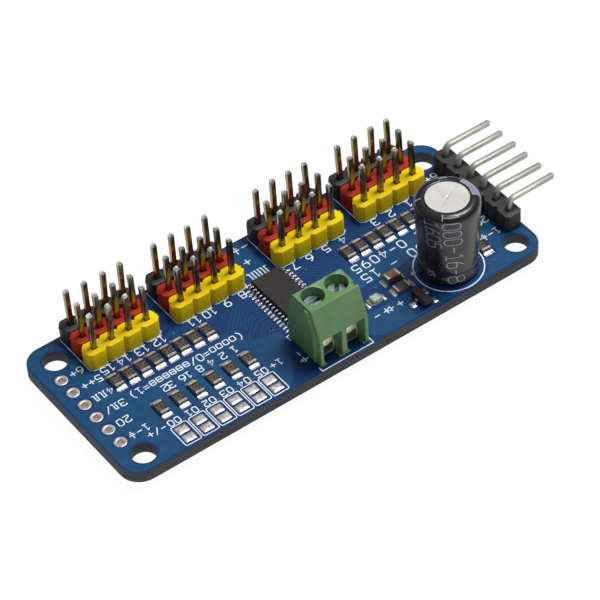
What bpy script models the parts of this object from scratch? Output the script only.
"""A 16-channel servo driver board: a blue circuit board that carries four blocks of servo pin headers, a bent
6-way header over one short edge, a 2-pole screw terminal, one standing electrolytic capacitor and its small
surface-mount parts.

Frame: +X runs along the board towards the bent header, +Y towards the servo headers, +Z up. The origin is on the
board's underside, in the middle of its four mounting holes. Lengths below are millimetres until a mesh is made.
"""

from math import cos, pi, radians, sin

import bmesh
import bpy
from mathutils import Vector
from mathutils.geometry import delaunay_2d_cdt

for old in list(bpy.data.objects):
    bpy.data.objects.remove(old)

BOARD = 1.6  # thickness of the board: its top face is at this height
TAIL = -1.4  # every through-hole lead ends here, under the board
PITCH = 2.54
PIN = 0.64  # square header pins

helpers = bpy.data.collections.new("helpers")
helpers.hide_render = True
bpy.context.scene.collection.children.link(helpers)


# ---------------------------------------------------------------- meshes


def inside(point, loop):
    """Whether a 2-D point lies in a closed loop."""
    x, y = point
    found = False
    for (x1, y1), (x2, y2) in zip(loop, loop[1:] + loop[:1]):
        if (y1 > y) != (y2 > y) and x < x1 + (y - y1) * (x2 - x1) / (y2 - y1):
            found = not found
    return found


def fill(loops, ties=()):
    """Triangles of the first loop less the others. ties are further closed loops whose edges the triangles keep."""
    points, edges = [], []
    for loop in list(loops) + list(ties):
        first = len(points)
        points += loop
        edges += [
            (first + i, first + (i + 1) % len(loop)) for i in range(len(loop))
        ]
    found, _, faces, *_ = delaunay_2d_cdt(
        [Vector(p) for p in points], edges, [], 0, 1e-6
    )
    kept = []
    for face in faces:
        corners = [found[i] for i in face]
        middle = sum((c.x for c in corners)) / 3, sum((c.y for c in corners)) / 3
        if inside(middle, loops[0]) and not any(inside(middle, h) for h in loops[1:]):
            kept.append([(c.x, c.y) for c in corners])
    return kept


class Solid:
    """Faces of one closed body, in millimetres."""

    def __init__(self):
        self.faces = []

    def face(self, *corners):
        self.faces.append([tuple(c) for c in corners])

    def cap(self, loops, z, ties=()):
        for triangle in fill(loops, ties):
            self.face(*[(x, y, z) for x, y in triangle])

    def wall(self, low, high):
        """Quads between two rings of 3-D points."""
        n = len(low)
        for i in range(n):
            j = (i + 1) % n
            self.face(low[i], low[j], high[j], high[i])

    def add(self, other):
        self.faces += other.faces
        return self

    def turned(self, turn):
        """The same faces, each corner moved by turn(x, y, z)."""
        self.faces = [[turn(*c) for c in f] for f in self.faces]
        return self

    def object(self, name, helper=False):
        mesh = bmesh.new()
        known = {}
        for face in self.faces:
            corners = []
            for c in face:
                key = tuple(round(v, 5) for v in c)
                if key not in known:
                    known[key] = mesh.verts.new([v * 0.001 for v in c])
                if known[key] not in corners:
                    corners.append(known[key])
            if len(corners) > 2:
                mesh.faces.new(corners)
        bmesh.ops.recalc_face_normals(mesh, faces=mesh.faces[:])
        data = bpy.data.meshes.new(name)
        mesh.to_mesh(data)
        mesh.free()
        obj = bpy.data.objects.new(name, data)
        if helper:
            helpers.objects.link(obj)
            obj.hide_render = True
            obj.display_type = "WIRE"
        else:
            bpy.context.scene.collection.objects.link(obj)
        return obj


def ring(loop, z):
    return [(x, y, z) for x, y in loop]


def circle(x, y, r, n, turn=0.0):
    return [
        (x + r * cos(2 * pi * i / n + turn), y + r * sin(2 * pi * i / n + turn))
        for i in range(n)
    ]


def square(x, y, side):
    h = side / 2
    return [(x - h, y - h), (x + h, y - h), (x + h, y + h), (x - h, y + h)]


def rectangle(x0, x1, y0, y1):
    return [(x0, y0), (x1, y0), (x1, y1), (x0, y1)]


def prism(loops, z0, z1, ties=()):
    s = Solid()
    s.cap(loops, z0, ties)
    s.cap(loops, z1, ties)
    for loop in loops:
        s.wall(ring(loop, z0), ring(loop, z1))
    return s


def block(x0, x1, y0, y1, z0, z1):
    return prism([rectangle(x0, x1, y0, y1)], z0, z1)


def along_x(loops, x0, x1):
    """A prism whose loops are (y, z) outlines, from x0 to x1."""
    return prism(loops, x0, x1).turned(lambda a, b, c: (c, a, b))


def along_y(loops, y0, y1):
    """A prism whose loops are (x, z) outlines, from y0 to y1."""
    return prism(loops, y0, y1).turned(lambda a, b, c: (a, c, b))


def revolve(profile, n, x=0.0, y=0.0):
    """A body turned about Z: profile is a closed list of (radius, z), and points on the axis close it."""
    s = Solid()
    m = len(profile)
    for i in range(n):
        a, b = 2 * pi * i / n, 2 * pi * (i + 1) / n
        for k in range(m):
            (r1, z1), (r2, z2) = profile[k], profile[(k + 1) % m]
            if r1 == 0 and r2 == 0:
                continue
            s.face(
                (x + r1 * cos(a), y + r1 * sin(a), z1),
                (x + r1 * cos(b), y + r1 * sin(b), z1),
                (x + r2 * cos(b), y + r2 * sin(b), z2),
                (x + r2 * cos(a), y + r2 * sin(a), z2),
            )
    return s


def boolean(obj, operation, other):
    modifier = obj.modifiers.new(operation.lower(), "BOOLEAN")
    modifier.operation = operation
    modifier.solver = "EXACT"
    modifier.object = other
    return modifier


def cut(obj, solid):
    boolean(obj, "DIFFERENCE", solid.object(obj.name + ".cut", helper=True))


def join(obj, solid):
    boolean(obj, "UNION", solid.object(obj.name + ".join", helper=True))


# ---------------------------------------------------------------- layout

BLOCK_X = (-24.13, -11.43, 3.81, 16.51)  # first pin of each block of four channels
ROWS = (("signal", 6.37), ("power", 8.91), ("ground", 11.45))
SIDE_Y = [6.35 - PITCH * i for i in range(6)]  # the six holes and the six bent pins
HOLES_X = -29.12
BENT_X = 29.4
POLES = (-1.75, 1.75)
SHANK = 0.72  # radius of a terminal screw's thread
LEG_Y = -6.6
CAP_X, CAP_Y = 18.95, -7.55
CAP_LEADS = (CAP_X - 1.75, CAP_X + 1.75)


# ---------------------------------------------------------------- the board


def board():
    x0, x1, y0, y1, r = -31.35, 30.8, -12.3, 12.65, 2.8
    outline = []
    for cx, cy, start in (
        (x1 - r, y1 - r, 0),
        (x0 + r, y1 - r, 90),
        (x0 + r, y0 + r, 180),
        (x1 - r, y0 + r, 270),
    ):
        for step in range(9):
            a = radians(start + step * 90 / 8)
            outline.append((cx + r * cos(a), cy + r * sin(a)))
    holes = [
        circle(sx * 27.94, sy * 9.525, 1.6, 32) for sx in (-1, 1) for sy in (-1, 1)
    ]
    holes += [circle(HOLES_X, y, 0.5, 16) for y in SIDE_Y]
    holes += [circle(BENT_X, y, 0.53, 8, pi / 8) for y in SIDE_Y]
    for first in BLOCK_X:
        for _, y in ROWS:
            holes += [
                circle(first + PITCH * i, y, 0.53, 8, pi / 8) for i in range(4)
            ]
    holes += [circle(x, LEG_Y, 0.6, 12) for x in POLES]
    holes += [circle(x, CAP_Y, 0.45, 12) for x in CAP_LEADS]
    # Plain facets, clear of every lead, for the seats: one round the origin and one beside each corner hole.
    seats = [[(-8.0, -5.3), (8.0, -5.3), (0.0, 10.0)]]
    for sx in (-1, 1):
        for sy in (-1, 1):
            y = sy * 9.525
            seats.append([(sx * 26.1, y - 1.6), (sx * 26.1, y + 1.6), (sx * 24.9, y)])
    prism([outline] + holes, 0.0, BOARD, ties=seats).object("circuit_board")


# ---------------------------------------------------------------- pin headers


def cells(n, across, notch):
    """The plan outline of an n-way header housing along X, pin 1 at the origin: a V between every two ways."""
    h, w = PITCH / 2, across / 2
    front, back = [], []
    for i in range(n):
        c = PITCH * i
        if i == 0:
            front.append((c - h, -w + notch))
            back.append((c - h, w - notch))
        front += [(c - h + notch, -w), (c + h - notch, -w), (c + h, -w + notch)]
        back += [(c - h + notch, w), (c + h - notch, w), (c + h, w - notch)]
    return front + back[::-1]


def pin_end(s, x, y, z, end, point=0.3):
    """A square pin from z to end, with a short tapered point."""
    step = point if end > z else -point
    base, tip = square(x, y, PIN), square(x, y, 0.34)
    s.wall(ring(base, z), ring(base, end - step))
    s.wall(ring(base, end - step), ring(tip, end))
    s.face(*ring(tip, end))


def servo_strip(name, first, y):
    """Four pins in one moulded row. Pins and housing are pressed together, so they are one body."""
    low, high = BOARD + 0.05, BOARD + PITCH
    outline = [(first + a, y + b) for a, b in cells(4, 2.4, 0.42)]
    pins = [square(first + PITCH * i, y, PIN) for i in range(4)]
    s = Solid()
    s.cap([outline] + pins, low)
    s.cap([outline] + pins, high)
    s.wall(ring(outline, low), ring(outline, high))
    for i in range(4):
        pin_end(s, first + PITCH * i, y, high, 9.9)
        pin_end(s, first + PITCH * i, y, low, TAIL)
    s.object(name)


def bent_header():
    outline = [
        (BENT_X - b, SIDE_Y[-1] + a) for a, b in cells(6, 2.5, 0.42)
    ]
    holes = [square(BENT_X, y, PIN + 0.1) for y in SIDE_Y]
    prism([outline] + holes, BOARD + 0.05, BOARD + PITCH).object("bent_header_housing")
    for number, y in enumerate(SIDE_Y, 1):
        bent_pin(f"bent_header_pin_{number}", y)


def bent_pin(name, y):
    """A square pin that stands in the board, turns through a small radius and runs out level past the board's edge."""
    h, level, reach, r = PIN / 2, 5.55, 36.6, 0.85
    s = Solid()

    def section(x, z, a, half=h):
        """A ring across the pin where it points at angle a from upright."""
        dx, dz = cos(a) * half, -sin(a) * half
        return [
            (x - dx, y - half, z - dz),
            (x + dx, y - half, z + dz),
            (x + dx, y + half, z + dz),
            (x - dx, y + half, z - dz),
        ]

    rings = [section(BENT_X, TAIL, 0, 0.17), section(BENT_X, TAIL + 0.3, 0)]
    for step in range(6):
        a = radians(90 * step / 5)
        rings.append(
            section(BENT_X + r - r * cos(a), level - r + r * sin(a), a)
        )
    rings.append(section(reach - 0.3, level, pi / 2))
    rings.append(section(reach, level, pi / 2, 0.17))
    for low, high in zip(rings, rings[1:]):
        s.wall(low, high)
    s.face(*rings[0])
    s.face(*rings[-1])
    s.object(name)


# ---------------------------------------------------------------- screw terminal


def terminal():
    low, top = BOARD + 0.03, 9.93
    side = [
        (-5.0, low),
        (-5.0, 6.35),
        (-6.35, top),
        (-10.1, top),
        (-11.65, 6.0),
        (-11.65, low),
    ]
    body = along_x([side], -3.55, 3.55).object("terminal_body")
    # A key down one side fits the groove down the other, so blocks slide together side by side.
    key = [(-9.05, 9.6), (-9.6, 9.6), (-10.85, 6.0), (-10.85, low + 0.5), (-10.3, low + 0.5), (-10.3, 6.0)]
    join(body, along_x([key], -3.87, -3.2))
    groove = [(-8.95, 9.98), (-9.7, 9.98), (-10.95, 6.0), (-10.95, 1.2), (-10.2, 1.2), (-10.2, 6.0)]
    cut(body, along_x([groove], 3.2, 4.0))
    for number, x in enumerate(POLES, 1):
        c = x - 0.025 if x > 0 else x + 0.025
        # The head's well, the hole for its shank, the mouth for the wire, and the room that the clamp moves in.
        cut(body, prism([circle(x, -8.0, 1.48, 28)], 7.45, 10.5))
        cut(body, prism([circle(x, -8.0, SHANK + 0.15, 16)], 4.9, 7.8))
        cut(body, block(c - 1.375, c + 1.375, -12.5, -10.45, 1.9, 6.0))
        cut(body, block(x - 1.25, x + 1.25, -10.6, -6.4, 1.0, 5.25))
        cut(body, block(x - 0.95, x + 0.95, -12.6, -10.4, 0.9, 2.1))
        terminal_screw(f"terminal_screw_{number}", x, 4 if number == 1 else 54)
        terminal_clamp(f"terminal_clamp_{number}", x)
        contact = [
            (-10.05, 2.95),
            (-10.05, 3.15),
            (-6.45, 3.15),
            (-6.45, TAIL),
            (-6.75, TAIL),
            (-6.75, 2.95),
        ]
        along_x([contact], x - 0.5, x + 0.5).object(f"terminal_contact_{number}")


def terminal_screw(name, x, slot):
    profile = [
        (0, 3.3),
        (SHANK - 0.2, 3.3),
        (SHANK, 3.5),
        (SHANK, 7.5),
        (1.3, 7.5),
        (1.3, 8.65),
        (1.15, 8.8),
        (0, 8.8),
    ]
    screw = revolve(profile, 24, x, -8.0).object(name)
    a = radians(slot)
    along, across = (cos(a), sin(a)), (-sin(a), cos(a))
    corners = [
        (
            x + u * along[0] * 1.8 + v * across[0] * 0.24,
            -8.0 + u * along[1] * 1.8 + v * across[1] * 0.24,
        )
        for u, v in ((-1, -1), (1, -1), (1, 1), (-1, 1))
    ]
    cut(screw, prism([corners], 8.1, 9.2))


def terminal_clamp(name, x):
    """The cage that the screw lifts: the wire goes in under the contact strip and over the cage's floor."""
    outer = rectangle(x - 1.15, x + 1.15, 1.85, 4.4)
    window = rectangle(x - 0.8, x + 0.8, 2.15, 3.4)
    clamp = along_y([outer, window], -10.3, -6.95).object(name)
    cut(clamp, prism([circle(x, -8.0, SHANK + 0.1, 16)], 3.2, 4.8))


# ---------------------------------------------------------------- capacitor


def capacitor():
    shell = [
        (3.1, 13.35),
        (3.6, 13.22),
        (3.87, 12.92),
        (3.97, 12.5),
        (3.66, 4.1),
        (3.62, 3.75),
        (3.3, 3.4),
        (3.3, 3.15),
        (3.62, 2.8),
        (3.62, 2.0),
        (3.45, 1.83),
    ]
    can = [(0, 13.35)] + shell + [(3.05, 1.83), (3.05, 3.1), (0, 3.1)]
    revolve(can, 32, CAP_X, CAP_Y).object("capacitor_can")

    # The printed sleeve, shrunk on: it laps a little over the top and just under the foot.
    normals = [
        (0, 1), (0.5, 0.87), (0.87, 0.5), (1, 0.1), (1, 0), (0.93, -0.37),
        (1, -0.3), (1, 0.3), (0.93, 0.37), (1, 0), (0.6, -0.3),
    ]
    inner = [(r + a * 0.04, z + b * 0.04) for (r, z), (a, b) in zip(shell, normals)]
    outer = [(r + a * 0.16, z + b * 0.16) for (r, z), (a, b) in zip(shell, normals)]
    sleeve = [(2.84, 13.4), (2.84, 13.5)] + outer + inner[::-1]
    revolve(sleeve, 32, CAP_X, CAP_Y).object("capacitor_sleeve")

    holes = [circle(x, CAP_Y, 0.36, 12) for x in CAP_LEADS]
    prism([circle(CAP_X, CAP_Y, 3.0, 32)] + holes, BOARD + 0.1, 3.05).object(
        "capacitor_seal"
    )
    for number, x in enumerate(CAP_LEADS, 1):
        prism([circle(x, CAP_Y, 0.3, 12)], TAIL, 3.0).object(
            f"capacitor_lead_{number}"
        )


# ---------------------------------------------------------------- surface-mount parts


def gull_lead(x0, x1, y, wide, high, thick, foot):
    """A lead that leaves a body at x0, drops beside it and ends in a foot at x1."""
    d = 1 if x1 > x0 else -1
    knee = x1 - d * foot
    low = BOARD + 0.03
    loop = [
        (x0, high),
        (knee, high),
        (knee + d * 0.06, low + thick),
        (x1, low + thick),
        (x1, low),
        (knee - d * (thick - 0.06), low),
        (knee - d * thick, high - thick),
        (x0, high - thick),
    ]
    return along_y([loop], y - wide / 2, y + wide / 2)


def driver_chip():
    """A 28-lead body, 4.4 x 9.7 mm, its long side across the board, with a dimple by lead 1."""
    x, y = 0.0, 0.1
    s = Solid()
    low, mid, top = BOARD + 0.1, BOARD + 0.62, BOARD + 1.08
    waist = rectangle(x - 2.2, x + 2.2, y - 4.85, y + 4.85)
    ends = rectangle(x - 2.09, x + 2.09, y - 4.74, y + 4.74)
    s.cap([ends], low)
    s.wall(ring(ends, low), ring(waist, mid))
    s.wall(ring(waist, mid), ring(ends, top))
    s.cap([ends], top)
    chip = s.object("driver_chip")
    leads = Solid()
    for i in range(14):
        for d in (-1, 1):
            leads.add(
                gull_lead(
                    x + d * 1.9, x + d * 3.2, y - 4.225 + 0.65 * i, 0.24, mid, 0.13, 0.62
                )
            )
    join(chip, leads)
    cut(chip, prism([circle(x + 1.5, y + 4.15, 0.28, 12)], top - 0.08, top + 0.3))


def chip_part(name, x, y, wide, long, high, end, turned=False, face=0.03):
    """A two-ended chip: metal ends stand a little proud of the body between them."""
    low, h = BOARD + 0.04, long / 2
    side = [
        (-h, low),
        (-h, low + high),
        (-h + end, low + high),
        (-h + end, low + high - face),
        (h - end, low + high - face),
        (h - end, low + high),
        (h, low + high),
        (h, low),
    ]
    if turned:
        loop = [(x + a, b) for a, b in side]
        along_y([loop], y - wide / 2, y + wide / 2).object(name)
    else:
        loop = [(y + a, b) for a, b in side]
        along_x([loop], x - wide / 2, x + wide / 2).object(name)


def small_parts():
    for i in range(8):
        chip_part(f"series_resistor_{15 - i}", -24.13 + 1.905 * i, 2.0, 1.25, 2.0, 0.5, 0.35)
        chip_part(f"series_resistor_{7 - i}", 10.6 + 1.905 * i, 2.0, 1.25, 2.0, 0.5, 0.35)
    for i in range(6):
        chip_part(f"address_resistor_{i}", -22.35 + PITCH * i, -5.05, 1.25, 2.0, 0.5, 0.35)
    chip_part("led_resistor", 12.1, -6.95, 1.25, 2.0, 0.5, 0.35, turned=True)
    chip_part("supply_capacitor", 12.1, -5.0, 1.25, 2.0, 1.05, 0.4, turned=True)
    chip_part("output_resistor", 24.25, -7.55, 1.25, 2.0, 0.5, 0.35)

    # The power lamp: a pale base with a clear lens on its middle.
    low = BOARD + 0.04
    base = block(7.2, 9.2, -7.38, -6.12, low, low + 0.35).object("power_led")
    lens = Solid()
    wide = [rectangle(7.55, 8.85, -7.33, -6.17), rectangle(7.7, 8.7, -7.2, -6.3)]
    lens.cap([wide[0]], low + 0.2)
    lens.wall(ring(wide[0], low + 0.2), ring(wide[0], low + 0.65))
    lens.wall(ring(wide[0], low + 0.65), ring(wide[1], low + 0.85))
    lens.cap([wide[1]], low + 0.85)
    join(base, lens)

    # A three-lead protection part: one lead on the left, two on the right.
    x, y = 12.75, -10.1
    s = Solid()
    low, mid, top = BOARD + 0.1, BOARD + 0.55, BOARD + 1.05
    waist = rectangle(x - 0.65, x + 0.65, y - 1.45, y + 1.45)
    ends = rectangle(x - 0.58, x + 0.58, y - 1.38, y + 1.38)
    s.cap([ends], low)
    s.wall(ring(ends, low), ring(waist, mid))
    s.wall(ring(waist, mid), ring(ends, top))
    s.cap([ends], top)
    sot = s.object("protection_transistor")
    leads = gull_lead(x - 0.4, x - 1.2, y, 0.4, mid, 0.13, 0.35)
    leads.add(gull_lead(x + 0.4, x + 1.2, y + 0.95, 0.4, mid, 0.13, 0.35))
    leads.add(gull_lead(x + 0.4, x + 1.2, y - 0.95, 0.4, mid, 0.13, 0.35))
    join(sot, leads)


board()
for letter, first in zip("abcd", BLOCK_X):
    for row, y in ROWS:
        servo_strip(f"servo_strip_{letter}_{row}", first, y)
bent_header()
terminal()
capacitor()
driver_chip()
small_parts()
